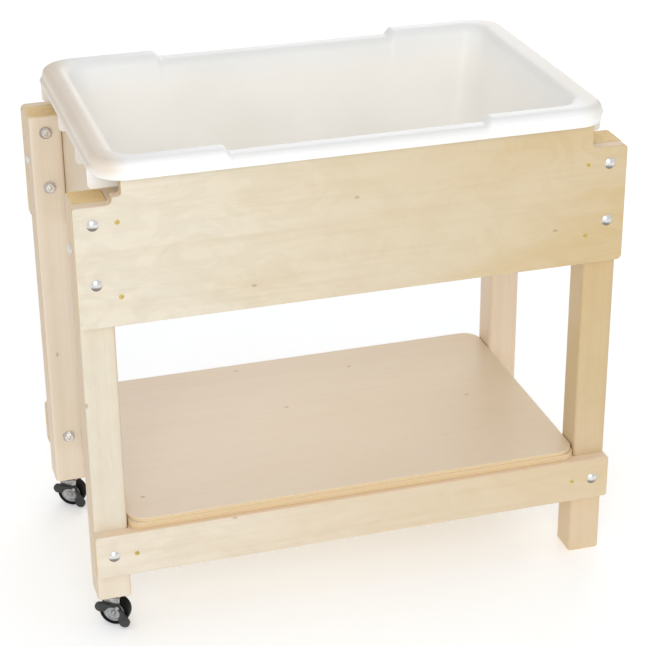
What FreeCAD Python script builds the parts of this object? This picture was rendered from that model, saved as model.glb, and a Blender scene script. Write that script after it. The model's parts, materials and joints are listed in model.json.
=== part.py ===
import FreeCAD, Part
import math
import os

# Sand and water table: a plywood frame on two fixed feet and two locking casters, a lift-out tub hung
# by its rim, a bottom shelf and a loose lid board stored on it.
# Millimetres.  X runs along the long side to the right, Y to the back, Z up, floor at Z = 0.

V = FreeCAD.Vector
X_AXIS = V(1, 0, 0)
Y_AXIS = V(0, 1, 0)
Z_AXIS = V(0, 0, 1)

# ---- frame boards ----
FRAME_LENGTH = 914.0        # over the ends of the long aprons
FRAME_DEPTH = 510.0         # over the outer faces of the long aprons
BOARD = 19.0                # plywood thickness
APRON_BOTTOM = 575.0
APRON_END_TOP = 779.0       # lowered ends above the legs
APRON_MID_TOP = 836.5       # raised middle that carries the tub rim
NOTCH_X = 395.5             # where the raised middle ends
STEP_X = 380.5              # small extra step at one end of the raised middle
STEP_Z = 791.5
APRON_CORNER = 9.0
APRON_SHARP_CORNER = 3.5    # the end with the extra step is hardly rounded
NOTCH_FILLET = 9.0
STEP_CORNER = 3.0
STEP_FILLET = 6.0
MID_CORNER = 2.0            # upper corners of a raised middle
EASED = 1.5                 # eased edges of the boards

# ---- legs ----
LEG = 57.0                  # square section, three boards laminated
LEG_INSET = 1.5             # outer face of the leg behind the apron end
LEG_TOP = 778.5
LEG_EDGE = 6.0              # rounded long edges
LEG_FOOT_BEVEL = 2.0
CASTER_HEIGHT = 64.0        # floor to the bottom of a leg that carries a caster

# ---- bottom rails, shelf and lid ----
RAIL_BOTTOM = 118.0
RAIL_TOP = 197.0
RAIL_CORNER = 5.0
SHELF_HALF = 397.0          # half length of the shelf and the lid board
SHELF_FRONT = -247.0
SHELF_BACK = 255.0
SHELF_THICK = 12.5
SHELF_CORNER = 20.0
LID_THICK = 6.5
LID_CORNER = 32.0
LID_EASED = 1.2

# ---- tub ----
RIM_HALF_X = 420.0
RIM_HALF_Y = 268.0          # the rim hooks over the long aprons
RIM_CORNER = 53.0
RIM_BOTTOM = 820.0          # lower edge of the skirt
RIM_TOP = 851.0
RIM_DIP = 11.0              # the long sides are lower in the middle
DIP_HALF = 206.0            # half length of the lowered part, at its bottom
DIP_SLOPE = 14.0            # run of the slope at each end of the lowered part
WALL = 3.5
LIP_HALF_X = 375.0          # inside of the basin, just under the flared lip
LIP_HALF_Y = 222.0
LIP_CORNER = 34.0
FLARE = 10.0                # the lip flares outwards by this much over its own height
TUB_FLOOR = 640.0           # underside of the tub floor
FLOOR_HALF_X = 345.0        # inside, at the floor
FLOOR_HALF_Y = 190.0
FLOOR_CORNER = 40.0
RIDGE_Z = 828.0             # ridge along each short side of the rim
RIDGE_OUT = 6.5
RIDGE_ROUND = 3.0
RIDGE_HALF_HEIGHT = 8.0
RIDGE_HALF_Y = 206.0
RIB_THICK = 3.0
RIB_MID_Y = 80.0            # outer ribs under the short sides of the rim
RIB_MID_BOTTOM = 784.0
RIB_END_Y = 214.0           # wide ribs at the corners of the basin
RIB_END_BOTTOM = 793.0
RIB_END_START = 353.0       # the wide ribs start inside the rounded corner of the basin
RIB_CLEAR = 1.0             # gap between a rib and the end apron

# ---- fasteners ----
BOLT_R = 4.0
BOLT_HOLE = 4.05
BOLT_HEAD_R = 10.0
BOLT_HEAD_H = 4.6
BOLT_HEAD_EDGE = 0.4        # how far the dome stops short of its full radius
BOLT_NECK = 8.2             # square neck under the head
BOLT_NECK_LENGTH = 4.5
BOLT_THREAD_LENGTH = 26.0
BOLT_TAIL = 4.0             # thread standing past the nut
THREAD_PITCH = 1.25
THREAD_DEPTH = 0.6
WASHER_R = 11.0
WASHER_T = 1.6
WASHER_BORE = 4.25
NUT_AF = 13.0
NUT_T = 6.5
NUT_CHAMFER = 0.3
NUT_CLEAR = 0.02            # radial gap between a nut and its thread
SCREW_HEAD_R = 4.4
SCREW_HEAD_H = 3.2
SCREW_RIM = 0.4             # straight rim of the countersunk head
SCREW_R = 2.2
SCREW_THREAD = 0.5
SCREW_LENGTH = 45.0
SCREW_PITCH = 2.2
SCREW_TIP = 6.0
SCREW_SHANK = 8.0           # plain length under the head
CROSS_LENGTH = 4.6          # cross recess in a screw head
CROSS_WIDTH = 0.9
CROSS_DEPTH = 1.6
SHELF_SCREW_LENGTH = 32.0
APRON_BOLT_Z = (649.0, 749.0)
END_BOLT_Z = 694.0
RAIL_MID_Z = 157.5
SHELF_SCREW_X = 200.0
SHELF_SCREW_Y = 150.0
SHELF_SCREW_INSET = 0.5     # shelf screws into a long rail, in front of its inner face
APRON_SCREW_Z = (625.0, 750.0)

# ---- end apron ----
END_RISE_Y = 183.0          # half length of the raised middle of an end apron
BUTT_CORNER = 1.0           # corners that butt against the long aprons

# ---- casters ----
WHEEL_R = 26.5
HUB_R = 18.5
WHEEL_W = 22.0
TRAIL = 4.0                 # horizontal offset of the axle from the swivel axis
CASTER_HEADING = -29.4      # degrees, direction the wheel trails towards at rest
AXLE_R = 3.0
RUNNING = 0.05              # radial clearance of a turning fit
HUB_BORE = AXLE_R + RUNNING
FORK_GAP = 12.5             # half distance between the inner faces of the fork cheeks
CHEEK = 2.0
CROWN_TOP = 56.5
CROWN_R = 17.5
CHEEK_BOSS_R = 11.5
CHEEK_FOOT = 15.0           # how far a cheek reaches back along the crown
CHEEK_TOE = 17.0            # and forward
CHEEK_CORNER = 1.0
RACE_BOTTOM = 57.1          # just clear of the crown
RACE_TOP = 62.0
RACE_R = 15.5
RACE_SKIRT = 1.2            # wall of the turned-down edge
RACE_SEAT = 2.5             # solid metal left round the stem
STEM_R = 4.0
STEM_LENGTH = 30.0
STEM_TIP = 2.0              # chamfer at the top
PIN_R = 3.0                 # lower end of the stem, riveted under the crown
RIVET_R = 4.5
RIVET_H = 1.1
RIVET_GAP = 0.1             # between the rivet head and the crown
SOCKET_R = 6.5
SOCKET_LENGTH = 34.0
SOCKET_FLANGE_R = 12.0
BALL_R = 1.5
BALL_COUNT = 16
BALL_RING = 11.0
BALL_GAP = 0.05             # between a ball and the crown
HUB_BOSS_R = 6.0
HUB_BOSS_OUT = 1.0          # boss stands past the side of the wheel
HUB_WEB = (6.5, 14.0)       # inner and outer radius of the recessed web
HUB_RECESS = 3.0
HUB_RIM_R = 15.5
HUB_INSET = 0.8             # side of the hub behind the side of the tyre
TYRE_BEAD = 2.0
TYRE_SHOULDER = ((3.5, 0.0), (1.2, 1.2), (0.3, 3.5), (0.0, 7.0))   # below the tread, in from the side
AXLE_HEAD_R = 5.6
AXLE_HEAD_H = 2.4
AXLE_HEAD_CHAMFER = (1.0, 1.2)
AXLE_PAST = 7.5             # axle standing past the near cheek
AXLE_THREAD = 7.0
AXLE_THREAD_DEPTH = 0.45
AXLE_PITCH = 1.0
LOCKNUT_AF = 10.0
LOCKNUT_T = 3.6
LOCKNUT_COLLAR_R = 4.6
LOCKNUT_COLLAR_H = 1.6
LEVER_T = 5.0
LEVER_GAP = 0.5
LEVER_PIVOT = (9.5, 13.5)   # from the axle, along the trail direction and up
LEVER_LOBES = ((-21.5, 12.0, 9.0), (20.5, -14.0, 9.5))   # centre and radius of each toe lobe
LEVER_HUB_R = 4.8
LEVER_NECK_R = 2.8          # half width of an arm where it leaves the hub
LEVER_CUTOUT_R = 13.2       # the lever bows round the axle end
LEVER_EASED = 1.2
LEVER_PIN_R = 2.0
LEVER_PIN_HEAD_R = 3.4
LEVER_PIN_HEAD_H = 1.4
LEVER_PIN_CHAMFER = (0.8, 1.0)
LEVER_PIN_GAP = 0.1         # between the rivet head and the lever

HALF_L = FRAME_LENGTH / 2
HALF_D = FRAME_DEPTH / 2
LEG_X1 = HALF_L - LEG_INSET
LEG_X0 = LEG_X1 - LEG
LEG_Y1 = HALF_D - BOARD
LEG_Y0 = LEG_Y1 - LEG
LEG_CX = (LEG_X0 + LEG_X1) / 2
LEG_CY = (LEG_Y0 + LEG_Y1) / 2
END_CX = LEG_X0 - BOARD / 2
SHELF_TOP = RAIL_TOP + SHELF_THICK


# ---------------------------------------------------------------- helpers
def block(x0, x1, y0, y1, z0, z1):
    """Box between the given limits."""
    return Part.makeBox(x1 - x0, y1 - y0, z1 - z0, V(x0, y0, z0))


def rod(base, axis, radius, length):
    """Cylinder from a base point along an axis."""
    return Part.makeCylinder(radius, length, base, axis)


def corner_points(before, at, after, radius):
    """Start, middle and end of the arc that rounds one corner of an outline."""
    a = before.sub(at)
    b = after.sub(at)
    a.normalize()
    b.normalize()
    half = a.getAngle(b) / 2
    cut = radius / math.tan(half)
    bisector = a.add(b)
    bisector.normalize()
    centre = at.add(bisector.multiply(radius / math.sin(half)))
    inward = at.sub(centre)
    inward.normalize()
    middle = centre.add(inward.multiply(radius))
    start = at.add(V(a.x, a.y, a.z).multiply(cut))
    end = at.add(V(b.x, b.y, b.z).multiply(cut))
    return start, middle, end


def rounded_wire(corners):
    """Closed wire through (point, radius) corners, each rounded by its own radius."""
    count = len(corners)
    arcs = []
    for i, (point, radius) in enumerate(corners):
        before = corners[i - 1][0]
        after = corners[(i + 1) % count][0]
        arcs.append(corner_points(before, point, after, radius))
    edges = []
    for i, (start, middle, end) in enumerate(arcs):
        edges.append(Part.Arc(start, middle, end).toShape())
        following = arcs[(i + 1) % count][0]
        if end.sub(following).Length > 1e-6:
            edges.append(Part.LineSegment(end, following).toShape())
    return Part.Wire(edges)


def rounded_rect(half_x, half_y, radius, z, cx=0.0, cy=0.0):
    """Rounded rectangle lying flat at height z."""
    points = [V(cx - half_x, cy - half_y, z), V(cx + half_x, cy - half_y, z),
              V(cx + half_x, cy + half_y, z), V(cx - half_x, cy + half_y, z)]
    return rounded_wire([(p, radius) for p in points])


def slab(wire, direction):
    """Solid swept from a flat closed wire."""
    return Part.Face(wire).extrude(direction)


def frustum(lower, upper):
    """Straight-sided solid between two matching wires."""
    return Part.makeLoft([lower, upper], True, True)


def eased(shape, radius, keep):
    """Round the edges that a test picks out."""
    return shape.makeFillet(radius, [edge for edge in shape.Edges if keep(edge)])


def flat_in(edge, axis, values):
    """True when an edge lies in one of the planes axis = value."""
    box = edge.BoundBox
    low = (box.XMin, box.YMin, box.ZMin)[axis]
    high = (box.XMax, box.YMax, box.ZMax)[axis]
    return any(abs(low - v) < 1e-4 and abs(high - v) < 1e-4 for v in values)


def mirror_x(shape):
    """Copy on the other side of the plane X = 0."""
    return shape.mirror(V(0, 0, 0), X_AXIS)


def mirror_y(shape):
    """Copy on the other side of the plane Y = 0."""
    return shape.mirror(V(0, 0, 0), Y_AXIS)


def in_corners(shape):
    """The shape and its copies in all four corners of the table."""
    right = mirror_x(shape)
    return [shape, right, mirror_y(shape), mirror_y(right)]


def revolve(points, base, axis):
    """Solid of revolution; points are (radius, height) pairs about a line along axis."""
    profile = Part.Face(Part.makePolygon([V(r, 0, h) for r, h in points] + [V(points[0][0], 0, points[0][1])]))
    solid = profile.revolve(V(0, 0, 0), Z_AXIS, 360)
    solid.Placement = FreeCAD.Placement(base, FreeCAD.Rotation(Z_AXIS, axis))
    return solid


# ---------------------------------------------------------------- frame boards
def long_apron():
    """Front apron: lowered rounded ends, raised middle, small extra step at the left."""
    front = -HALF_D
    outline = [(-HALF_L, APRON_BOTTOM, APRON_SHARP_CORNER), (-HALF_L, APRON_END_TOP, APRON_SHARP_CORNER),
               (-NOTCH_X, APRON_END_TOP, NOTCH_FILLET), (-NOTCH_X, STEP_Z, STEP_CORNER),
               (-STEP_X, STEP_Z, STEP_FILLET), (-STEP_X, APRON_MID_TOP, MID_CORNER),
               (NOTCH_X, APRON_MID_TOP, MID_CORNER), (NOTCH_X, APRON_END_TOP, NOTCH_FILLET),
               (HALF_L, APRON_END_TOP, APRON_CORNER), (HALF_L, APRON_BOTTOM, APRON_CORNER)]
    wire = rounded_wire([(V(x, front, z), r) for x, z, r in outline])
    board = slab(wire, V(0, BOARD, 0))
    return eased(board, EASED, lambda e: flat_in(e, 1, (front, front + BOARD)))


def end_apron():
    """Left board between the long aprons, raised in the middle under the tub rim."""
    x = -LEG_X0
    far = LEG_Y1
    butt = BUTT_CORNER
    outline = [(-far, APRON_BOTTOM, butt), (-far, APRON_END_TOP, butt),
               (-END_RISE_Y, APRON_END_TOP, NOTCH_FILLET), (-END_RISE_Y, APRON_MID_TOP, MID_CORNER),
               (END_RISE_Y, APRON_MID_TOP, MID_CORNER),
               (END_RISE_Y, APRON_END_TOP, NOTCH_FILLET), (far, APRON_END_TOP, butt), (far, APRON_BOTTOM, butt)]
    board = slab(rounded_wire([(V(x, y, z), r) for y, z, r in outline]), V(BOARD, 0, 0))
    return eased(board, EASED / 2, lambda e: flat_in(e, 0, (x, x + BOARD)))


def cross_rail():
    """Left cross rail between the long rails, under the shelf."""
    board = block(-LEG_X0, -LEG_X0 + BOARD, -LEG_Y1, LEG_Y1, RAIL_BOTTOM, RAIL_TOP)
    return eased(board, EASED, lambda e: flat_in(e, 2, (RAIL_BOTTOM, RAIL_TOP)) and e.Length > 2 * BOARD)


def long_rail():
    """Front bottom rail on the outer faces of the legs."""
    front = -HALF_D
    corners = [V(-HALF_L, front, RAIL_BOTTOM), V(-HALF_L, front, RAIL_TOP),
               V(HALF_L, front, RAIL_TOP), V(HALF_L, front, RAIL_BOTTOM)]
    board = slab(rounded_wire([(p, RAIL_CORNER) for p in corners]), V(0, BOARD, 0))
    return eased(board, EASED, lambda e: flat_in(e, 1, (front,)))


def leg(bottom):
    """Front left leg with rounded long edges and a bevelled foot."""
    post = block(-LEG_X1, -LEG_X0, -LEG_Y1, -LEG_Y0, bottom, LEG_TOP)
    post = eased(post, LEG_EDGE, lambda e: e.BoundBox.ZLength > LEG)
    foot = [edge for edge in post.Edges if flat_in(edge, 2, (bottom, LEG_TOP))]
    return post.makeChamfer(LEG_FOOT_BEVEL, foot)


def flat_board(thickness, corner, z, ease):
    """Board between the legs with rounded corners, lying on z."""
    cy = (SHELF_FRONT + SHELF_BACK) / 2
    half_y = (SHELF_BACK - SHELF_FRONT) / 2
    board = slab(rounded_rect(SHELF_HALF, half_y, corner, z, 0, cy), V(0, 0, thickness))
    return eased(board, ease, lambda e: flat_in(e, 2, (z, z + thickness)))


# ---------------------------------------------------------------- fasteners
def thread_profile(radius, depth, pitch, start, end):
    """Zigzag of crests and roots along a threaded length."""
    count = int((end - start) / pitch)
    points = []
    for i in range(count):
        z = start + i * pitch
        points += [(radius - depth, z), (radius, z + pitch / 2)]
    points.append((radius - depth, start + count * pitch))
    return points


def carriage_bolt(head, axis, grip):
    """Domed bolt with a square neck; grip is the wood thickness it clamps."""
    length = grip + WASHER_T + NUT_T + BOLT_TAIL
    start = length - BOLT_THREAD_LENGTH
    threads = thread_profile(BOLT_R, THREAD_DEPTH, THREAD_PITCH, start, length - THREAD_PITCH)
    shank = revolve([(0, 0), (BOLT_R, 0), (BOLT_R, start - THREAD_DEPTH)] + threads
                    + [(BOLT_R - THREAD_DEPTH, length), (0, length)], head, axis)
    sphere_r = (BOLT_HEAD_R ** 2 + BOLT_HEAD_H ** 2) / (2 * BOLT_HEAD_H)
    dome = Part.makeSphere(sphere_r, head.add(V(axis).multiply(sphere_r - BOLT_HEAD_H)))
    keep = rod(head.sub(V(axis).multiply(BOLT_HEAD_H)), axis, BOLT_HEAD_R - BOLT_HEAD_EDGE, BOLT_HEAD_H)
    return shank.fuse(dome.common(keep)).fuse(neck_block(head, axis)).removeSplitter()


def neck_block(head, axis):
    """Square neck of a carriage bolt, also the socket it pulls into."""
    half = BOLT_NECK / 2
    neck = Part.makeBox(BOLT_NECK, BOLT_NECK, BOLT_NECK_LENGTH, V(-half, -half, 0))
    neck.Placement = FreeCAD.Placement(head, FreeCAD.Rotation(Z_AXIS, axis))
    return neck


def bolt_hole(head, axis, grip):
    """Hole through the clamped wood for one carriage bolt."""
    return rod(head, axis, BOLT_HOLE, grip).fuse(neck_block(head, axis))


def washer(head, axis, grip):
    """Flat washer on the far side of the clamped wood."""
    base = head.add(V(axis).multiply(grip))
    return rod(base, axis, WASHER_R, WASHER_T).cut(rod(base, axis, WASHER_BORE, WASHER_T))


def hexagon(across_flats, height):
    """Hexagonal block standing on the origin."""
    reach = across_flats / 2 / math.cos(math.pi / 6)
    turns = [math.pi * i / 3 for i in range(7)]
    corners = [V(reach * math.cos(a), reach * math.sin(a), 0) for a in turns]
    return slab(Part.makePolygon(corners), V(0, 0, height))


def nut_body(across_flats, height):
    """Hexagonal block with chamfered corners, standing on the origin."""
    narrow = across_flats / 2 - NUT_CHAMFER
    wide = across_flats / 2 + height
    spare = 2 * NUT_CHAMFER
    cone = Part.makeCone(wide, narrow, height + spare)
    flipped = Part.makeCone(narrow, wide, height + spare, V(0, 0, -spare))
    return hexagon(across_flats, height).common(cone).common(flipped)


def nut(head, axis, grip):
    """Hexagon nut on the washer."""
    base = head.add(V(axis).multiply(grip + WASHER_T))
    body = nut_body(NUT_AF, NUT_T).cut(rod(V(0, 0, 0), Z_AXIS, BOLT_R + NUT_CLEAR, NUT_T))
    body.Placement = FreeCAD.Placement(base, FreeCAD.Rotation(Z_AXIS, axis))
    return body


def wood_screw(head, axis, length):
    """Countersunk wood screw with a cross recess; head is flush with the surface."""
    threads = thread_profile(SCREW_R, SCREW_THREAD, SCREW_PITCH, SCREW_HEAD_H + SCREW_SHANK, length - SCREW_TIP)
    body = revolve([(0, 0), (SCREW_HEAD_R, 0), (SCREW_HEAD_R, SCREW_RIM),
                    (SCREW_R - SCREW_THREAD, SCREW_HEAD_H)] + threads
                   + [(0, length)], head, axis)
    side = FreeCAD.Rotation(Z_AXIS, axis)
    for turn in (0, 90):
        slot = Part.makeBox(CROSS_LENGTH, CROSS_WIDTH, CROSS_DEPTH, V(-CROSS_LENGTH / 2, -CROSS_WIDTH / 2, 0))
        slot.Placement = FreeCAD.Placement(head, side.multiply(FreeCAD.Rotation(Z_AXIS, turn)))
        body = body.cut(slot)
    return body


def screw_hole(head, axis, length):
    """Countersunk pilot hole for one wood screw."""
    sink = Part.makeCone(SCREW_HEAD_R, SCREW_R, SCREW_HEAD_H - SCREW_RIM, V(0, 0, SCREW_RIM))
    flat = Part.makeCylinder(SCREW_HEAD_R, SCREW_RIM)
    hole = sink.fuse(flat).fuse(Part.makeCylinder(SCREW_R, length))
    hole.Placement = FreeCAD.Placement(head, FreeCAD.Rotation(Z_AXIS, axis))
    return hole


# places: (point on the outer surface, direction into the wood, length), front left corner only
APRON_BOLTS = [(V(-LEG_CX, -HALF_D, z), Y_AXIS, BOARD + LEG) for z in APRON_BOLT_Z]
RAIL_BOLTS = [(V(-LEG_CX, -HALF_D, RAIL_MID_Z), Y_AXIS, BOARD + LEG)]
END_BOLTS = [(V(-LEG_X1, -LEG_CY, END_BOLT_Z), X_AXIS, BOARD + LEG)]
APRON_SCREWS = [(V(-END_CX, -HALF_D, z), Y_AXIS, SCREW_LENGTH) for z in APRON_SCREW_Z]
RAIL_SCREWS = [(V(-END_CX, -HALF_D, RAIL_MID_Z), Y_AXIS, SCREW_LENGTH)]
DOWN = Z_AXIS.negative()
SHELF_SCREWS = [(V(-END_CX, -SHELF_SCREW_Y, SHELF_TOP), DOWN, SHELF_SCREW_LENGTH),
                (V(-SHELF_SCREW_X, -LEG_Y1 - SHELF_SCREW_INSET, SHELF_TOP), DOWN, SHELF_SCREW_LENGTH)]


def everywhere(maker, places):
    """One shape per place, repeated in all four corners."""
    shapes = []
    for place in places:
        shapes += in_corners(maker(*place))
    return shapes


# ---------------------------------------------------------------- tub
def dip_prism(top):
    """Space above the lowered middle of both long sides, for a rim top at the given height."""
    low = top - RIM_DIP
    far = RIM_HALF_Y + 5
    high = 5.0
    run = DIP_SLOPE / RIM_DIP
    wide = DIP_HALF + DIP_SLOPE + high * run
    gate = Part.makePolygon([V(-DIP_HALF, -far, low), V(DIP_HALF, -far, low), V(wide, -far, top + high),
                             V(-wide, -far, top + high), V(-DIP_HALF, -far, low)])
    return slab(gate, V(0, 2 * far, 0))


def rim_block(inset, bottom):
    """Rim as a solid block, grown inwards and downwards by inset."""
    top = RIM_TOP - inset
    wire = rounded_rect(RIM_HALF_X - inset, RIM_HALF_Y - inset, RIM_CORNER - inset, bottom)
    return slab(wire, V(0, 0, top - bottom)).cut(dip_prism(top))


def basin(grow, floor):
    """Tapered basin up to the start of the flared lip; grow is added all round to the inside."""
    lower = rounded_rect(FLOOR_HALF_X + grow, FLOOR_HALF_Y + grow, FLOOR_CORNER + grow, floor)
    upper = rounded_rect(LIP_HALF_X + grow, LIP_HALF_Y + grow, LIP_CORNER + grow, RIM_TOP)
    return frustum(lower, upper)


def flare(grow, start):
    """Flared lip that starts at the given height and opens at 45 degrees."""
    high = FLARE + 4.0
    wide = grow + high
    lower = rounded_rect(LIP_HALF_X + grow, LIP_HALF_Y + grow, LIP_CORNER + grow, start)
    upper = rounded_rect(LIP_HALF_X + wide, LIP_HALF_Y + wide, LIP_CORNER + wide, start + high)
    return frustum(lower, upper)


def middle_slab(half):
    """Everything within half of the plane X = 0."""
    return block(-half, half, -RIM_HALF_Y, RIM_HALF_Y, TUB_FLOOR, RIM_TOP + 20)


def lip_flare(grow):
    """Flare along the whole lip: high at the ends, lower along the dipped sides."""
    high = flare(grow, RIM_TOP - FLARE)
    low = flare(grow, RIM_TOP - FLARE - RIM_DIP).common(middle_slab(DIP_HALF))
    return high.fuse(low)


def rib(x0, x1, y, bottom, top):
    """Rib under the right short side of the rim."""
    return block(x0, x1, y - RIB_THICK / 2, y + RIB_THICK / 2, bottom, top)


def ribs():
    """Two narrow ribs outside the right end apron and two wide ones that reach out under the ridge."""
    plates = [rib(LEG_X0 + RIB_CLEAR, RIM_HALF_X - RIB_CLEAR, y, RIB_MID_BOTTOM, RIM_TOP - WALL)
              for y in (-RIB_MID_Y, RIB_MID_Y)]
    for y in (-RIB_END_Y, RIB_END_Y):
        plates.append(rib(RIB_END_START, RIM_HALF_X - WALL / 2, y, RIB_END_BOTTOM, RIM_TOP - WALL))
        reach = RIM_HALF_X + RIDGE_OUT - RIDGE_ROUND
        plates.append(rib(LIP_HALF_X, reach, y, RIB_END_BOTTOM, RIM_BOTTOM + WALL))
    return plates


def ridge():
    """Rounded ridge along the right short side of the rim."""
    face = RIM_HALF_X - WALL / 2
    out = RIM_HALF_X + RIDGE_OUT
    low = RIDGE_Z - RIDGE_HALF_HEIGHT
    high = RIDGE_Z + RIDGE_HALF_HEIGHT
    profile = [(V(face, 0, low), 0.3), (V(RIM_HALF_X, 0, low), 0.3), (V(out, 0, RIDGE_Z), RIDGE_ROUND),
               (V(RIM_HALF_X, 0, high), 0.3), (V(face, 0, high), 0.3)]
    wire = rounded_wire([(p.add(V(0, -RIDGE_HALF_Y, 0)), r) for p, r in profile])
    return slab(wire, V(0, 2 * RIDGE_HALF_Y, 0))


def make_tub():
    """One-piece basin with a hollow rim, ribs under the ends and a ridge on each end."""
    outer = rim_block(0.0, RIM_BOTTOM)
    shell = outer.cut(rim_block(WALL, RIM_BOTTOM - 5))
    walls = basin(WALL, TUB_FLOOR).fuse(lip_flare(WALL).common(outer)).cut(dip_prism(RIM_TOP))
    tub = shell.fuse(walls)
    for piece in ribs() + [ridge()]:
        tub = tub.fuse(piece).fuse(mirror_x(piece))
    inside = basin(0.0, TUB_FLOOR + WALL).fuse(lip_flare(0.0))
    return tub.cut(inside).removeSplitter()


# ---------------------------------------------------------------- casters
def ring(radius, bore, z0, z1):
    """Plain ring about the swivel axis."""
    return rod(V(0, 0, z0), Z_AXIS, radius, z1 - z0).cut(rod(V(0, 0, z0), Z_AXIS, bore, z1 - z0))


def caster_socket():
    """Flanged steel sleeve pressed into the leg."""
    flange = rod(V(0, 0, RACE_TOP), Z_AXIS, SOCKET_FLANGE_R, CASTER_HEIGHT - RACE_TOP)
    sleeve = rod(V(0, 0, CASTER_HEIGHT), Z_AXIS, SOCKET_R, SOCKET_LENGTH)
    bore = rod(V(0, 0, RACE_TOP), Z_AXIS, STEM_R, SOCKET_LENGTH + CASTER_HEIGHT)
    return flange.fuse(sleeve).cut(bore)


def caster_stem():
    """Stem with a rounded top; its lower pin is riveted under the crown."""
    top = CASTER_HEIGHT + STEM_LENGTH
    under = CROWN_TOP - CHEEK - RIVET_GAP
    points = [(0, under - RIVET_H), (RIVET_R, under - RIVET_H), (RIVET_R, under), (PIN_R, under),
              (PIN_R, RACE_BOTTOM), (STEM_R, RACE_BOTTOM), (STEM_R, top - STEM_TIP),
              (STEM_R - STEM_TIP, top), (0, top)]
    return revolve(points, V(0, 0, 0), Z_AXIS)


def caster_race():
    """Cupped upper race over the balls, with a turned-down edge."""
    cup = ring(RACE_R, STEM_R, RACE_BOTTOM, RACE_TOP)
    hollow = ring(RACE_R - RACE_SKIRT, STEM_R + RACE_SEAT, CROWN_TOP, CROWN_TOP + 2 * BALL_R + 3 * BALL_GAP)
    return cup.cut(hollow)


def caster_balls():
    """Ring of bearing balls between the crown and the upper race."""
    z = CROWN_TOP + BALL_GAP + BALL_R
    spots = [2 * math.pi * i / BALL_COUNT for i in range(BALL_COUNT)]
    return Part.makeCompound([Part.makeSphere(BALL_R, V(BALL_RING * math.cos(a), BALL_RING * math.sin(a), z))
                              for a in spots])


def cheek(y0):
    """Fork cheek: wide at the crown, tapering to a round boss at the axle."""
    boss = CHEEK_BOSS_R
    nearly = boss - 0.1     # a hair less than the boss, so that both arcs fit on the lower side
    outline = [(V(-CHEEK_FOOT, y0, CROWN_TOP), CHEEK_CORNER), (V(CHEEK_TOE, y0, CROWN_TOP), CHEEK_CORNER),
               (V(TRAIL + boss, y0, WHEEL_R - boss), nearly), (V(TRAIL - boss, y0, WHEEL_R - boss), nearly)]
    return slab(rounded_wire(outline), V(0, CHEEK, 0))


def caster_fork():
    """Pressed fork: round crown, two cheeks, holes for the stem, the axle and the brake pin."""
    crown = rod(V(0, 0, CROWN_TOP - CHEEK), Z_AXIS, CROWN_R, CHEEK)
    fork = crown.fuse(cheek(FORK_GAP)).fuse(cheek(-FORK_GAP - CHEEK))
    fork = fork.cut(rod(V(0, 0, 0), Z_AXIS, PIN_R + RUNNING, CASTER_HEIGHT))
    outside = FORK_GAP + 2 * CHEEK
    fork = fork.cut(rod(V(TRAIL, -outside, WHEEL_R), Y_AXIS, AXLE_R, 2 * outside))
    pin_x, pin_z = LEVER_PIVOT
    pin_hole = rod(V(TRAIL + pin_x, -outside, WHEEL_R + pin_z), Y_AXIS, LEVER_PIN_R, outside)
    return fork.cut(pin_hole).removeSplitter()


def both_sides(face):
    """Closed profile of a wheel part from the (radius, height) points of its upper side."""
    return [(r, -h) for r, h in face] + list(reversed(face))


def caster_hub():
    """Wheel core with a recessed web on both faces and a raised bearing boss."""
    half = WHEEL_W / 2
    web_in, web_out = HUB_WEB
    face = [(HUB_BORE, half + HUB_BOSS_OUT), (HUB_BOSS_R, half + HUB_BOSS_OUT), (web_in, half - HUB_RECESS),
            (web_out, half - HUB_RECESS), (HUB_RIM_R, half - HUB_INSET), (HUB_R, half - HUB_INSET)]
    return revolve(both_sides(face), V(TRAIL, 0, WHEEL_R), Y_AXIS)


def caster_tyre():
    """Tyre with rounded shoulders and a slightly crowned tread."""
    half = WHEEL_W / 2
    face = [(HUB_R, half - HUB_INSET), (HUB_R + TYRE_BEAD, half)]
    face += [(WHEEL_R - down, half - inward) for down, inward in TYRE_SHOULDER]
    return revolve(both_sides(face), V(TRAIL, 0, WHEEL_R), Y_AXIS)


def caster_axle():
    """Axle bolt from the far cheek, with a round head and a threaded near end."""
    length = 2 * (FORK_GAP + CHEEK) + AXLE_PAST
    inward, down = AXLE_HEAD_CHAMFER
    head = [(0, -AXLE_HEAD_H), (AXLE_HEAD_R - inward, -AXLE_HEAD_H), (AXLE_HEAD_R, down - AXLE_HEAD_H),
            (AXLE_HEAD_R, 0), (AXLE_R, 0)]
    start = length - AXLE_THREAD
    threads = thread_profile(AXLE_R, AXLE_THREAD_DEPTH, AXLE_PITCH, start, length - AXLE_PITCH / 2)
    root = AXLE_R - AXLE_THREAD_DEPTH
    points = head + [(AXLE_R, start - AXLE_THREAD_DEPTH)] + threads + [(root, length), (0, length)]
    return revolve(points, V(TRAIL, FORK_GAP + CHEEK, WHEEL_R), Y_AXIS.negative())


def caster_nut():
    """Lock nut on the near end of the axle."""
    collar = rod(V(0, 0, LOCKNUT_T), Z_AXIS, LOCKNUT_COLLAR_R, LOCKNUT_COLLAR_H)
    bore = rod(V(0, 0, 0), Z_AXIS, AXLE_R + NUT_CLEAR, LOCKNUT_T + LOCKNUT_COLLAR_H)
    body = nut_body(LOCKNUT_AF, LOCKNUT_T).fuse(collar).cut(bore)
    outward = FreeCAD.Rotation(Z_AXIS, Y_AXIS.negative())
    body.Placement = FreeCAD.Placement(V(TRAIL, -FORK_GAP - CHEEK, WHEEL_R), outward)
    return body


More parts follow.
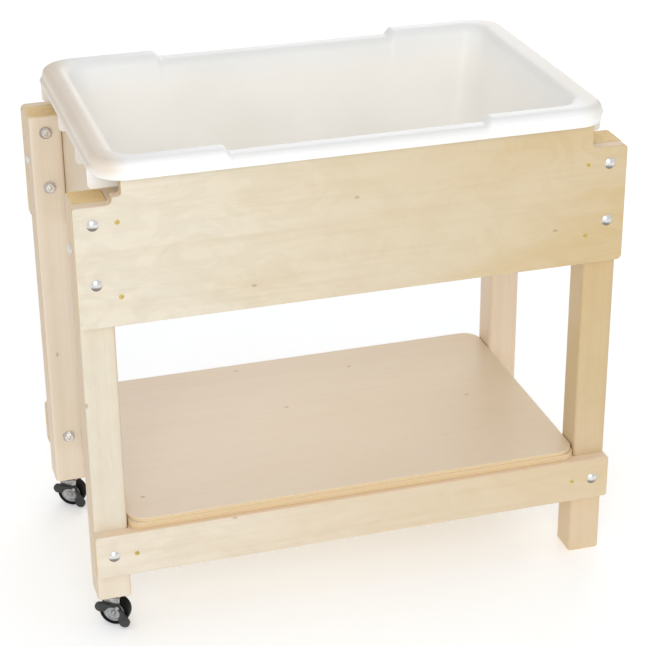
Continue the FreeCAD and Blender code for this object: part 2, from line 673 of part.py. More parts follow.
def tangent_strip(c0, r0, c1, r1, y, thick):
    """Plate that joins two discs by their common outer tangents."""
    d = math.hypot(c1[0] - c0[0], c1[1] - c0[1])
    base = math.atan2(c1[1] - c0[1], c1[0] - c0[0])
    lean = math.acos((r0 - r1) / d)
    corners = []
    for centre, radius, sign in ((c0, r0, 1), (c1, r1, 1), (c1, r1, -1), (c0, r0, -1)):
        a = base + sign * lean
        corners.append(V(centre[0] + radius * math.cos(a), y, centre[1] + radius * math.sin(a)))
    strip = slab(Part.makePolygon(corners + [corners[0]]), V(0, thick, 0))
    for centre, radius in ((c0, r0), (c1, r1)):
        strip = strip.fuse(rod(V(centre[0], y, centre[1]), Y_AXIS, radius, thick))
    return strip


def caster_brake():
    """Rocker lever outside the near cheek: a bent plate with a round toe lobe at each end."""
    y = -FORK_GAP - CHEEK - LEVER_GAP - LEVER_T
    pivot = (TRAIL + LEVER_PIVOT[0], WHEEL_R + LEVER_PIVOT[1])
    lever = rod(V(pivot[0], y, pivot[1]), Y_AXIS, LEVER_HUB_R, LEVER_T)
    for dx, dz, radius in LEVER_LOBES:
        lever = lever.fuse(tangent_strip(pivot, LEVER_NECK_R, (TRAIL + dx, WHEEL_R + dz), radius, y, LEVER_T))
    lever = lever.cut(rod(V(TRAIL, y - 1, WHEEL_R), Y_AXIS, LEVER_CUTOUT_R, LEVER_T + 2)).removeSplitter()
    lever = eased(lever, LEVER_EASED, lambda e: flat_in(e, 1, (y,)))
    return lever.cut(rod(V(pivot[0], y - 1, pivot[1]), Y_AXIS, LEVER_PIN_R + RUNNING, LEVER_T + 2))


def caster_brake_pin():
    """Rivet that carries the brake lever on the near cheek."""
    y = -FORK_GAP - CHEEK - LEVER_GAP - LEVER_T - LEVER_PIN_GAP
    length = LEVER_T + LEVER_GAP + CHEEK
    inward, down = LEVER_PIN_CHAMFER
    pin = [(0, -LEVER_PIN_HEAD_H), (LEVER_PIN_HEAD_R - inward, -LEVER_PIN_HEAD_H),
           (LEVER_PIN_HEAD_R, down - LEVER_PIN_HEAD_H), (LEVER_PIN_HEAD_R, 0), (LEVER_PIN_R, 0),
           (LEVER_PIN_R, length), (0, length)]
    return revolve(pin, V(TRAIL + LEVER_PIVOT[0], y, WHEEL_R + LEVER_PIVOT[1]), Y_AXIS)


CASTER_PARTS = {"socket": caster_socket, "stem": caster_stem, "race": caster_race, "balls": caster_balls,
                "fork": caster_fork, "hub": caster_hub, "tyre": caster_tyre, "axle": caster_axle,
                "nut": caster_nut, "brake": caster_brake, "brake_pin": caster_brake_pin}


def placed(shape, side):
    """Caster part under a left leg, turned to the heading at rest."""
    spot = shape.copy()
    under_leg = FreeCAD.Placement(V(-LEG_CX, side * LEG_CY, 0), FreeCAD.Rotation(Z_AXIS, CASTER_HEADING))
    spot.Placement = under_leg.multiply(shape.Placement)
    return spot


# ---------------------------------------------------------------- holes and assembly
def drilled(shape, cutters):
    """Shape with every cutter that reaches it taken out."""
    for cutter in cutters:
        if shape.BoundBox.intersect(cutter.BoundBox):
            shape = shape.cut(cutter)
    return shape


def frame_nodes():
    """Wooden parts with their holes, by node name."""
    holes = everywhere(bolt_hole, APRON_BOLTS + RAIL_BOLTS + END_BOLTS)
    holes += everywhere(screw_hole, APRON_SCREWS + RAIL_SCREWS + SHELF_SCREWS)
    sleeve = rod(V(0, 0, CASTER_HEIGHT - 1), Z_AXIS, SOCKET_R, SOCKET_LENGTH + 1)
    holes += [placed(sleeve, side) for side in (-1, 1)]
    apron = long_apron()
    short = leg(CASTER_HEIGHT)
    long = mirror_x(leg(0.0))
    shelf = flat_board(SHELF_THICK, SHELF_CORNER, RAIL_TOP, EASED / 2)
    back_apron = apron.copy()
    back_apron.rotate(V(0, 0, 0), Z_AXIS, 180)
    wood = {"front_apron": apron, "back_apron": back_apron,
            "left_end_apron": end_apron(), "right_end_apron": mirror_x(end_apron()),
            "front_left_leg": short, "back_left_leg": mirror_y(short),
            "front_right_leg": long, "back_right_leg": mirror_y(long),
            "front_rail": long_rail(), "back_rail": mirror_y(long_rail()),
            "left_end_rail": cross_rail(), "right_end_rail": mirror_x(cross_rail()), "shelf_board": shelf}
    return {name: drilled(shape, holes) for name, shape in wood.items()}


def fastener_nodes():
    """Groups of identical fasteners, by node name."""
    groups = {}
    for prefix, places in (("apron", APRON_BOLTS), ("rail", RAIL_BOLTS), ("end", END_BOLTS)):
        groups[prefix + "_bolts"] = everywhere(carriage_bolt, places)
        groups[prefix + "_washers"] = everywhere(washer, places)
        groups[prefix + "_nuts"] = everywhere(nut, places)
    for prefix, places in (("apron", APRON_SCREWS), ("rail", RAIL_SCREWS), ("shelf", SHELF_SCREWS)):
        groups[prefix + "_screws"] = everywhere(wood_screw, places)
    return {name: Part.makeCompound(shapes) for name, shapes in groups.items()}


def all_nodes():
    """Every node of the table, by name."""
    nodes = frame_nodes()
    nodes.update(fastener_nodes())
    nodes["lid_board"] = flat_board(LID_THICK, LID_CORNER, SHELF_TOP, LID_EASED)
    nodes["tub"] = make_tub()
    for name, maker in CASTER_PARTS.items():
        part = maker()
        nodes["front_caster_" + name] = placed(part, -1)
        nodes["back_caster_" + name] = placed(part, 1)
    return nodes


os.makedirs("parts", exist_ok=True)
for node_name, node_shape in all_nodes().items():
    node_shape.exportStep("parts/" + node_name + ".step")
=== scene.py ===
import json
import math

import bmesh
import bpy
from mathutils import Matrix, Vector


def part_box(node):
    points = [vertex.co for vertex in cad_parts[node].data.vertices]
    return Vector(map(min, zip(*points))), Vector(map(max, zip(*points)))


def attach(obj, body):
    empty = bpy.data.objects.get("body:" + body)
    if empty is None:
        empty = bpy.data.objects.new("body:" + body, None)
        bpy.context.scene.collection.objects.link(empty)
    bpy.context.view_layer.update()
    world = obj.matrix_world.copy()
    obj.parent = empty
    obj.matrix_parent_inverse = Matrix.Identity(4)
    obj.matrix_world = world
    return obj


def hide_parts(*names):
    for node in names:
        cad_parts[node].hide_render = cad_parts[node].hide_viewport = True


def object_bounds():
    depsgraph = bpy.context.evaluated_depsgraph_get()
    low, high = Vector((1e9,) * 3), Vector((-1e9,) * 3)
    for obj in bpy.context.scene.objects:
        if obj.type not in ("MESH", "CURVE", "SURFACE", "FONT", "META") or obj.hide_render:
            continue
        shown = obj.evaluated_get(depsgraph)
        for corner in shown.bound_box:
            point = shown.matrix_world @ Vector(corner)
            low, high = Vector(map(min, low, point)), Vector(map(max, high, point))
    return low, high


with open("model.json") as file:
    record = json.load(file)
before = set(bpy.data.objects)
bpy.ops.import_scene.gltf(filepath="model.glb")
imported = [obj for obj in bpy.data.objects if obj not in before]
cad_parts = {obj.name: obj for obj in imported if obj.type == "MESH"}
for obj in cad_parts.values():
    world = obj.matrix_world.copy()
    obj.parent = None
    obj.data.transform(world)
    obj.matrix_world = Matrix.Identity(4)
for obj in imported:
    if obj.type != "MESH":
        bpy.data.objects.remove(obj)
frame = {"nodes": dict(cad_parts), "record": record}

CAD_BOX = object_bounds()                   # before anything is added
HALF_LENGTH = CAD_BOX[1][0]             # the table runs along X, with the casters at the minus end
MM = 0.001
NODES = frame["nodes"]
AXES = "XYZ"
EDGE_FLAT, EDGE_WORN = 0.99, 0.85       # cosines of the bend that a rounded edge gives to a face
BEVEL_SAMPLES = 4


# ------------------------------------------------------------------ shader helpers
class Shader:
    """A node material under construction; its methods return output sockets."""

    def __init__(self, name):
        self.mat = bpy.data.materials.new(name)
        self.mat.use_nodes = True
        self.tree = self.mat.node_tree
        self.bsdf = self.tree.nodes["Principled BSDF"]
        coords = self.node("ShaderNodeTexCoord")
        self.place = coords.outputs["Object"]
        self.mirrored = coords.outputs["Reflection"]
        self.normal = self.node("ShaderNodeNewGeometry").outputs["Normal"]

    def node(self, kind, **values):
        made = self.tree.nodes.new(kind)
        for key, value in values.items():
            setattr(made, key, value)
        return made

    def join(self, value, socket):
        """Links a socket, or sets a plain value."""
        if isinstance(value, bpy.types.NodeSocket):
            self.tree.links.new(value, socket)
        else:
            socket.default_value = value

    def math(self, op, *values):
        made = self.node("ShaderNodeMath", operation=op)
        for value, socket in zip(values, made.inputs):
            self.join(value, socket)
        return made.outputs[0]

    def plus(self, a, b):
        return self.math("ADD", a, b)

    def minus(self, a, b):
        return self.math("SUBTRACT", a, b)

    def times(self, a, b):
        return self.math("MULTIPLY", a, b)

    def size(self, a):
        return self.math("ABSOLUTE", a)

    def vector(self, op, a, b):
        made = self.node("ShaderNodeVectorMath", operation=op)
        self.join(a, made.inputs[0])
        self.join(b, made.inputs[1])
        return made.outputs["Value"] if op == "DOT_PRODUCT" else made.outputs[0]

    def part(self, of, axis):
        """One component of a vector."""
        made = self.node("ShaderNodeSeparateXYZ")
        self.join(of, made.inputs[0])
        return made.outputs[AXES.index(axis)]

    def noise(self, scales, shift=(0, 0, 0), detail=3.0, rough=0.6, warp=0.0):
        """Noise through the object; scales are features per metre along each axis."""
        made = self.node("ShaderNodeTexNoise")
        at = self.vector("ADD", self.vector("MULTIPLY", self.place, scales), shift)
        values = {"Vector": at, "Scale": 1.0, "Detail": detail, "Roughness": rough, "Distortion": warp}
        for key, value in values.items():
            self.join(value, made.inputs[key])
        return made.outputs["Fac"]

    def ramp(self, value, low, high, out_low=0.0, out_high=1.0):
        """out_low at low, out_high at high, straight between and flat beyond."""
        made = self.node("ShaderNodeMapRange", clamp=True)
        for item, socket in zip((value, low, high, out_low, out_high), made.inputs):
            self.join(item, socket)
        return made.outputs["Result"]

    def mix(self, amount, a, b, kind="RGBA"):
        made = self.node("ShaderNodeMix", data_type=kind)
        self.join(amount, made.inputs["Factor"])
        self.join(a, made.inputs["A"])
        self.join(b, made.inputs["B"])
        return made.outputs["Result"]

    def tint(self, colour, mask, strength, other):
        """The colour, with some of another where the mask is 1."""
        return self.mix(self.times(mask, strength), colour, other)

    def worn_edge(self, radius):
        """1 on sharp outer edges, 0 on flat faces."""
        bevel = self.node("ShaderNodeBevel", samples=BEVEL_SAMPLES)
        bevel.inputs["Radius"].default_value = radius
        dot = self.vector("DOT_PRODUCT", bevel.outputs[0], self.normal)
        return self.ramp(dot, EDGE_FLAT, EDGE_WORN)

    def bump(self, height, distance, strength):
        made = self.node("ShaderNodeBump")
        made.inputs["Strength"].default_value = strength
        made.inputs["Distance"].default_value = distance
        self.join(height, made.inputs["Height"])
        self.tree.links.new(made.outputs[0], self.bsdf.inputs["Normal"])

    def finish(self, **values):
        """Sets inputs of the surface by name and returns the material."""
        for key, value in values.items():
            self.join(value, self.bsdf.inputs[key.replace("_", " ")])
        return self.mat


def rgb(red, green, blue):
    """Linear colour from 0-255 screen values."""
    def linear(value):
        value = value / 255
        return value / 12.92 if value <= 0.04045 else ((value + 0.055) / 1.055) ** 2.4
    return (linear(red), linear(green), linear(blue), 1.0)


def even(scale):
    """The same scale on all three axes."""
    return (scale,) * 3


def along(axis, scales):
    """The first scale along one axis, the second on the two others."""
    return tuple(scales[0] if name == axis else scales[1] for name in AXES)


def shifted(seed, steps):
    """Offset of a pattern, different for each seed."""
    return tuple(seed * step for step in steps)


# ------------------------------------------------------------------ wood
PALE = rgb(227, 218, 199)
WARM = rgb(212, 187, 141)
CREAM = rgb(243, 233, 214)
BLUSH_WHITE = rgb(253, 235, 216)
TAN = rgb(202, 172, 128)
BROWN = rgb(150, 108, 66)
HONEY = rgb(206, 168, 114)
END_LIGHT = rgb(240, 216, 176)
END_DARK = rgb(226, 198, 154)
PORE = rgb(196, 156, 104)
RING_LIGHT = rgb(252, 222, 164)
RING_DARK = rgb(240, 205, 146)

# features per metre of each pattern, along the grain and across it
DRIFT = (1.8, 6.0)
CURL = (7.0, 13.0)
LINES = (2.4, 90.0)
FIBRES = (30.0, 900.0)
KNOTS = (2.6, 4.6)

# steps that set one board's pattern apart from the next
FACE_STEPS = (3.1, 1.7, 2.3)
EDGE_STEPS = (5.3, 2.9, 1.1)
END_STEPS = (1.9, 2.7, 0.7)
KNOT_STEP = 1.37

# where each mark starts and where it is full: on its noise or wave, or on the distance from its middle
CURL_PALE = (0.47, 0.57)
CURL_DARK = (0.42, 0.3)
LINES_DARK = (0.48, 0.72)
FIBRES_DARK = (0.4, 0.75)
KNOT_RIM = (0.016, 0.005)
PLY_BLEND = (-0.35, 0.35)
GLUE_LINE = (0.2, 0.0)
JOINT_LINE = (0.02, 0.004)
PALE_NEAR, PALE_FAR = 0.36, 0.08        # strength of the pale figure at the casters and from the middle on

# cosines between which a face starts to count as an edge, an end, a side face or a top
EDGE_TURN = (0.86, 0.6)
END_TURN = (0.6, 0.9)
FLANK_TURN = (0.7, 0.95)
TOP_TURN = (0.5, 0.9)

PAINTED_FALLOFF_RUN = (-0.1, 0.95)               # painted light fall-off: warmth of the birch at the caster end and at the feet
VENEER_DRIFT = 0.7
# strength of the painted highlight on ply edges that face up
TOP_HIGHLIGHT = 0.6
GROWTH_RINGS = 14.0
PLY_WOBBLE = 0.3 * MM
PLY_WEAR, LEG_WEAR = 1.6 * MM, 2.5 * MM
FOOT_PALING, FOOT_PALING_RUN = 0.3, (0.3, 0.06)       # the lower part of a leg grows paler between these two heights
GRAIN_RELIEF = 0.22 * MM
SATIN, BARE = (0.36, 0.47), 0.62        # roughness of the lacquered faces and of the cut ends


def pin_knots(s, grain, across, seed):
    """1 in sparse small knots scattered over a board's faces."""
    flat = s.node("ShaderNodeCombineXYZ")
    for axis, scale, socket in zip((grain, across), KNOTS, flat.inputs):
        s.join(s.math("MULTIPLY_ADD", s.part(s.place, axis), scale, seed * KNOT_STEP), socket)
    cells = s.node("ShaderNodeTexVoronoi", voronoi_dimensions="2D")
    s.join(flat.outputs[0], cells.inputs["Vector"])
    s.join(1.0, cells.inputs["Scale"])
    return s.ramp(cells.outputs["Distance"], *KNOT_RIM)


def veneer(s, broad):
    """Birch colour with broad drift, and a painted light fall-off along the table: paler towards the caster end,
    warmer towards the feet.
    """
    # painted light fall-off: paler at the caster end, warmer towards the feet
    place = s.ramp(s.part(s.place, "X"), -HALF_LENGTH, HALF_LENGTH, *PAINTED_FALLOFF_RUN)
    drift = s.times(s.minus(broad, 0.5), VENEER_DRIFT)
    return s.mix(s.ramp(s.plus(place, drift), 0.0, 1.0), PALE, WARM)


def wood_face(s, grain, across, seed, warmth_and_painted_shade=0.0, paling_and_painted_light=0.0, fade=0.0, marks=1.0):
    """Planed birch: soft drift, curly figure, faint grain lines, fibres and pin knots.

    The warmth argument warms the whole board towards honey (painted shade on some boards), the paling argument
    pales it towards blush white (painted light on some boards), fade is how much of the paling is lost towards
    the feet, and marks scales the figure.  Returns the colour, the relief and the curl."""
    shift = shifted(seed, FACE_STEPS)
    broad = s.noise(along(grain, DRIFT), shift, detail=2.0, rough=0.5, warp=0.8)
    curl = s.noise(along(grain, CURL), shift, warp=2.8)
    lines = s.noise(along(grain, LINES), shift, detail=4.0, warp=0.3)
    fibres = s.noise(along(grain, FIBRES), shift, detail=2.0)
    knots = pin_knots(s, grain, across, seed)
    length = s.part(s.place, "X")
    # paling towards blush white; on the back legs and the left end apron it is painted light that lifts their
    # shade
    paling = s.ramp(length, -HALF_LENGTH, HALF_LENGTH, paling_and_painted_light, paling_and_painted_light * (1 - fade))
    near_casters = s.ramp(length, -HALF_LENGTH, 0.0, PALE_NEAR * marks, PALE_FAR * marks)
    # warming towards honey; on the front right leg and the left end apron it is painted shade
    colour = s.mix(warmth_and_painted_shade, veneer(s, broad), HONEY)
    colour = s.mix(paling, colour, BLUSH_WHITE)
    colour = s.tint(colour, s.ramp(curl, *CURL_PALE), near_casters, CREAM)
    colour = s.tint(colour, s.ramp(curl, *CURL_DARK), 0.1 * marks, TAN)
    colour = s.tint(colour, s.ramp(lines, *LINES_DARK), 0.17 * marks, TAN)
    colour = s.tint(colour, s.ramp(fibres, *FIBRES_DARK), 0.08, TAN)
    colour = s.tint(colour, knots, 0.45, BROWN)
    relief = s.plus(s.times(fibres, 0.4), s.times(lines, 0.4))
    return colour, s.minus(relief, s.times(knots, 0.5)), curl


def lacquered(s, colour, relief, curl, bare):
    """Clear satin lacquer over wood; bare is 1 where the cut ends soak it up."""
    s.bump(relief, GRAIN_RELIEF, 0.5)
    rough = s.mix(bare, s.ramp(curl, 0.3, 0.7, *SATIN), BARE, kind="FLOAT")
    return s.finish(Base_Color=colour, Roughness=rough, Specular_IOR_Level=0.3,
                    Coat_Weight=0.08, Coat_Roughness=0.3,
                    Subsurface_Weight=0.05, Subsurface_Radius=(0.004, 0.002, 0.001))


def ply_edge(s, thick, low, plies, seed):
    """Stacked plies on the edge of a board: light and dark layers with thin glue lines.

    low is where the board starts along its thickness, plies is pairs of layers per metre."""
    shift = shifted(seed, EDGE_STEPS)
    depth = s.minus(s.part(s.place, thick), low)
    wobble = s.times(s.noise(even(8), shift, detail=1.0, rough=0.5), PLY_WOBBLE)
    wave = s.math("SINE", s.times(s.plus(depth, wobble), 2 * math.pi * plies))
    glue = s.ramp(s.size(wave), *GLUE_LINE)
    pores = s.noise(even(260), shift, rough=0.65)
    colour = s.mix(s.ramp(wave, *PLY_BLEND), END_LIGHT, END_DARK)
    colour = s.tint(colour, s.ramp(pores, 0.35, 0.7), 0.2, PORE)
    return s.tint(colour, glue, 0.16, BROWN), glue


def plywood(name, grain, thick, low, plies, seed, **shade):
    """Birch plywood: rotary-cut face veneer and stacked plies on the edges."""
    s = Shader(name)
    across = AXES.replace(grain, "").replace(thick, "")
    face, relief, curl = wood_face(s, grain, across, seed, **shade)
    edge, glue = ply_edge(s, thick, low, plies, seed)
    on_edge = s.ramp(s.size(s.part(s.normal, thick)), *EDGE_TURN)
    # painted highlight: ply edges that face up are paled towards blush white
    lit_top = s.ramp(s.part(s.normal, "Z"), *TOP_TURN, 0.0, TOP_HIGHLIGHT)
    colour = s.mix(on_edge, face, s.mix(lit_top, edge, BLUSH_WHITE))
    colour = s.tint(colour, s.worn_edge(PLY_WEAR), 0.3, END_DARK)
    relief = s.minus(relief, s.times(s.times(glue, on_edge), 0.8))
    return lacquered(s, colour, relief, curl, on_edge)


def end_grain(s, seed):
    """Growth rings and pores on the cut end of a post."""
    shift = shifted(seed, END_STEPS)
    pores = s.noise(even(300), shift, rough=0.7)
    growth = s.noise(even(16), shift, detail=1.0, rough=0.5)
    rings = s.math("PINGPONG", s.times(growth, GROWTH_RINGS), 1.0)
    colour = s.tint(RING_LIGHT, s.ramp(rings, 0.1, 0.9), 0.6, RING_DARK)
    return s.tint(colour, s.ramp(pores, 0.4, 0.7), 0.2, BROWN)


def solid_wood(name, low, pitch, seed, side_shade=0.1, **shade):
    """Upright leg laminated from three boards side by side along X; the faces across X get painted shade in a
    warm honey colour.
    """
    s = Shader(name)
    board = s.math("DIVIDE", s.minus(s.part(s.place, "X"), low), pitch)
    face, relief, curl = wood_face(s, "Z", "X", seed, marks=0.5, **shade)
    lamella = s.ramp(s.math("PINGPONG", board, 1.0), 0.2, 0.8)
    # painted shade: faces across X turn towards honey
    painted_side_shade = s.ramp(s.size(s.part(s.normal, "X")), *FLANK_TURN, 0.0, side_shade)
    face = s.tint(face, lamella, 0.1, TAN)
    face = s.mix(painted_side_shade, face, HONEY)
    near = s.size(s.minus(s.math("FRACT", s.plus(board, 0.5)), 0.5))
    inner = s.math("LESS_THAN", s.size(s.minus(board, 1.5)), 1.3)       # no glue line on the outer faces
    joint = s.times(s.ramp(near, *JOINT_LINE), inner)
    face = s.tint(face, joint, 0.16, BROWN)
    # the lower part of each leg grows paler towards the floor
    face = s.mix(s.ramp(s.part(s.place, "Z"), *FOOT_PALING_RUN, 0.0, FOOT_PALING), face, BLUSH_WHITE)
    end = s.ramp(s.size(s.part(s.normal, "Z")), *END_TURN)
    colour = s.mix(end, face, end_grain(s, seed))
    colour = s.tint(colour, s.worn_edge(LEG_WEAR), 0.2, END_DARK)
    relief = s.minus(relief, s.times(joint, 0.6))
    return lacquered(s, colour, relief, curl, end)


# ------------------------------------------------------------------ plastic, steel, rubber, floor
TUB_WHITE = rgb(246, 247, 246)
TUB_SHADE = rgb(241, 242, 240)
TUB_SCRATCH = rgb(224, 226, 228)
# beige used as painted shade on the end rims and as a tint down in the basin
BEIGE_TINT = rgb(229, 213, 193)
BARE_STEEL = rgb(236, 236, 236)
STEEL_WEAR, PLASTIC_WEAR = 0.5 * MM, 0.8 * MM
TUB_RELIEF, STEEL_RELIEF, PLASTIC_RELIEF, FLOOR_RELIEF = 0.7 * MM, 0.06 * MM, 0.15 * MM, 0.2 * MM
BASIN_TINT = (0.0, 0.3)                 # how much beige tint shows at the rim and down in the basin
BASIN_GLOW = (0.05, 0.11)               # light through the walls, at the rim and down in the basin
RIGHT_END_SHADE = 0.4                    # painted shade on the right end's rim, against 1 on the left
GROUND_REFLECTED = (-0.55, -0.85)       # heights of the reflected direction where the steel gets a painted reflection of a dark ground
SKY_REFLECTED = (-0.4, 0.2)             # and where it gets a painted reflection of a bright sky
# strength of the painted reflections
PAINTED_REFLECTION = 0.8

# light and dark shades of each steel, its stain shade that is also its painted reflection of the ground, its
# painted reflection of the sky, and the scales of its brushed bands
PLATINGS = {
    "zinc_plate": (rgb(232, 230, 226), rgb(200, 197, 192), rgb(104, 98, 90), rgb(252, 252, 250), (200, 200, 900)),
    "washer_plate": (rgb(206, 199, 196), rgb(184, 176, 172), rgb(120, 112, 108), rgb(222, 218, 216), even(300)),
    "nut_plate": (rgb(255, 255, 253), rgb(240, 238, 232), rgb(110, 96, 70), rgb(255, 255, 255), even(300)),
    "yellow_plate": (rgb(218, 196, 122), rgb(184, 158, 86), rgb(84, 62, 30), rgb(236, 210, 140), even(500)),
    "caster_steel": (rgb(186, 186, 187), rgb(138, 138, 140), rgb(70, 68, 66), rgb(206, 206, 206), even(400)),
}
# clean and dusty shades of each moulded part, the scale of its grain, its roughness and its gloss
MOULDINGS = {
    "hub_grey": (rgb(150, 151, 153), rgb(188, 188, 188), 500, 0.42, 0.5),
    "tyre_black": (rgb(9, 9, 10), rgb(26, 26, 27), 300, 0.5, 0.12),
    "lever_black": (rgb(40, 41, 43), rgb(92, 92, 92), 420, 0.4, 0.5),
}
FLOOR_DARK = (0.93, 0.945, 0.965, 1)
FLOOR_LIGHT = (0.955, 0.97, 0.985, 1)
FLOOR_GLOW, FLOOR_GLOW_STRENGTH = (0.97, 0.99, 1, 1), 0.29


def tub_plastic():
    """White translucent plastic: moulded texture, play scratches, beige painted shade on the end rims and a beige
    tint that grows down in the basin.

    The faint glow stands for light that comes through the thin walls."""
    s = Shader("tub_plastic")
    cloud = s.noise(even(5), rough=0.55)
    peel = s.noise(even(240))
    ripple = s.noise((9, 9, 14), detail=1.0, rough=0.4)
    marks = s.math("MAXIMUM", s.ramp(s.noise((700, 26, 26), detail=2.0, warp=1.2), 0.68, 0.74),
                   s.ramp(s.noise((24, 760, 24), detail=2.0, warp=1.2), 0.69, 0.75))
    length, height = s.part(s.place, "X"), s.part(s.place, "Z")
    # painted shade: the rims of the short ends turn beige, less on the right end
    on_ends = s.ramp(s.size(length), LIP.x - 8 * MM, LIP.x + 24 * MM)
    on_ends = s.times(on_ends, s.ramp(length, -0.1, 0.1, 1.0, RIGHT_END_SHADE))
    above_skirt = s.ramp(height, RIM_TOP - 34 * MM, RIM_TOP - 16 * MM)
    depth = (RIM_TOP - DIP, RIM_TOP - 60 * MM)
    # beige mask: painted shade on the end rims, and a tint that grows down in the basin
    beige_mask = s.math("MAXIMUM", s.times(on_ends, above_skirt), s.ramp(height, *depth, *BASIN_TINT))
    glow = s.ramp(height, *depth, *BASIN_GLOW)
    base = s.mix(s.ramp(cloud, 0.35, 0.7), TUB_WHITE, TUB_SHADE)
    base = s.tint(base, beige_mask, s.ramp(cloud, 0.25, 0.75, 0.7, 1.0), BEIGE_TINT)
    base = s.tint(base, marks, 0.18, TUB_SCRATCH)
    relief = s.minus(s.plus(s.times(peel, 0.25), ripple), s.times(marks, 0.15))
    s.bump(relief, TUB_RELIEF, 0.35)
    rough = s.plus(s.ramp(peel, 0.3, 0.7, 0.3, 0.4), s.times(marks, 0.15))
    return s.finish(Base_Color=base, Roughness=rough, IOR=1.5, Specular_IOR_Level=0.45,
                    Subsurface_Weight=0.35, Subsurface_Radius=(0.02, 0.021, 0.022),
                    Emission_Color=base, Emission_Strength=glow)


def plated_steel(name):
    """Plated steel: brushed bands, cloudy plating, small stains, and a painted reflection of a bright sky and a
    dark ground in its colour.
    """
    light, dark, stain_and_ground_reflection, painted_sky_reflection, bands = PLATINGS[name]
    s = Shader(name)
    cloud = s.noise(even(150))
    streak = s.noise(bands, detail=2.0)
    speck = s.ramp(s.noise(even(900), detail=2.0), 0.66, 0.74)
    upward = s.part(s.mirrored, "Z")
    colour = s.mix(s.ramp(cloud, 0.35, 0.7), light, dark)
    # painted reflection: darker where the reflected direction points at the ground, paler where it points at the
    # sky
    colour = s.mix(s.ramp(upward, *GROUND_REFLECTED, 0.0, PAINTED_REFLECTION), colour, stain_and_ground_reflection)
    colour = s.mix(s.ramp(upward, *SKY_REFLECTED, 0.0, PAINTED_REFLECTION), colour, painted_sky_reflection)
    colour = s.tint(colour, speck, 0.5, stain_and_ground_reflection)
    colour = s.tint(colour, s.worn_edge(STEEL_WEAR), 0.5, BARE_STEEL)
    rough = s.plus(s.ramp(cloud, 0.3, 0.7, 0.12, 0.24), s.times(streak, 0.12))
    s.bump(s.plus(streak, s.times(speck, 0.6)), STEEL_RELIEF, 0.5)
    return s.finish(Base_Color=colour, Roughness=rough, Metallic=0.85)


def moulded(name):
    """Moulded black or grey part: fine texture, scuffed edges, dust in the grain."""
    clean, dusty, grain_scale, roughness, gloss = MOULDINGS[name]
    s = Shader(name)
    grain = s.noise(even(grain_scale))
    dust = s.noise(even(60))
    scuff = s.ramp(s.noise((300, 80, 500), detail=2.0, warp=1.0), 0.62, 0.72)
    colour = s.tint(clean, s.ramp(dust, 0.45, 0.75), 0.4, dusty)
    colour = s.tint(colour, scuff, 0.25, dusty)
    colour = s.tint(colour, s.worn_edge(PLASTIC_WEAR), 0.4, dusty)
    rough = s.plus(s.ramp(grain, 0.3, 0.7, roughness - 0.06, roughness + 0.08), s.times(scuff, 0.1))
    s.bump(s.plus(grain, s.times(scuff, 0.4)), PLASTIC_RELIEF, 0.5)
    return s.finish(Base_Color=colour, Roughness=rough, Specular_IOR_Level=gloss)


def floor_material():
    """Plain pale studio floor with a barely visible tooth and a slight glow that keeps it near white."""
    s = Shader("floor")
    tooth = s.noise(even(40), detail=2.0, rough=0.5)
    s.bump(tooth, FLOOR_RELIEF, 0.2)
    colour = s.mix(tooth, FLOOR_DARK, FLOOR_LIGHT)
    return s.finish(Base_Color=colour, Roughness=0.8,
                    Emission_Color=FLOOR_GLOW, Emission_Strength=FLOOR_GLOW_STRENGTH)


# ------------------------------------------------------------------ tub shell
TUB_LOW, TUB_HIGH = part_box("tub")
RIM = Vector((0.420, 0.268))            # half size over the skirt
LIP = Vector((0.375, 0.222))            # half size of the basin under the lip
FLOOR = Vector((0.345, 0.190))          # half size of the basin at its floor
RIM_CORNER, LIP_CORNER, FLOOR_CORNER = 53 * MM, 36 * MM, 40 * MM
SMALLEST_CORNER = 4 * MM
SPAN = RIM.x - LIP.x
WALL = 3.5 * MM
RIM_TOP = TUB_HIGH.z
SKIRT_BOTTOM = RIM_TOP - 31 * MM
HEM = 1.5 * MM                          # rounding of the skirt's lower edge
RIM_ROUND, LIP_ROUND, FLOOR_ROUND = 12 * MM, 20 * MM, 24 * MM
CROWN = 0.5 * MM                        # the rim's top falls this much towards the basin
DIP = 11 * MM                           # the long sides are this much lower in the middle
DIP_HALF, DIP_RUN = 206 * MM, 13 * MM   # half length of the low part, and length of its slope
DIP_FADE = 40 * MM                      # the basin wall follows the dip over this height
BEAD_Z, BEAD_HALF, BEAD_OUT = RIM_TOP - 22 * MM, 9 * MM, 5.5 * MM       # ridge on the short sides
RIB_THICK, RIB_ROUND = 3 * MM, 7 * MM
RIB_COVER = WALL * 0.6                  # wall left over a rib's top and outer end
RIB_MID = (0.080, RIM_TOP - 67 * MM, RIM.x - 1.5 * MM)      # place, bottom, outer edge below the rim
RIB_END = (0.214, RIM_TOP - 58 * MM, RIM.x + 4 * MM)
RIB_END_START = LIP.x - 11 * MM         # inside the wall of the basin's rounded corner
RIB_END_LEAN = 7.5 * MM                 # follows the taper of the wall
RIB_MID_GAP = 1 * MM                    # between an end apron and the ribs outside it
SHARP_ANGLE = math.radians(50)

# mesh columns run along the straight sides as far as the last station, and each corner arc has a few more
LAST_STATION_X, LAST_STATION_Y = 0.29, 0.15
COARSE_STATIONS = [0.0, 0.05, 0.1, 0.15, 0.19, 0.25, LAST_STATION_X]
CORNER_COLUMNS = 14
WALL_RINGS = 14
FLOOR_INSETS = (150, 110, 70, 40)       # rings across the flat of the floor


def smooth(value, low, high):
    """0 below low, 1 above high, smooth between."""
    t = min(max((value - low) / (high - low), 0.0), 1.0)
    return t * t * (3 - 2 * t)


def spaced(low, high, count):
    """Values from low to high in equal steps."""
    return [low + (high - low) * k / count for k in range(count + 1)]


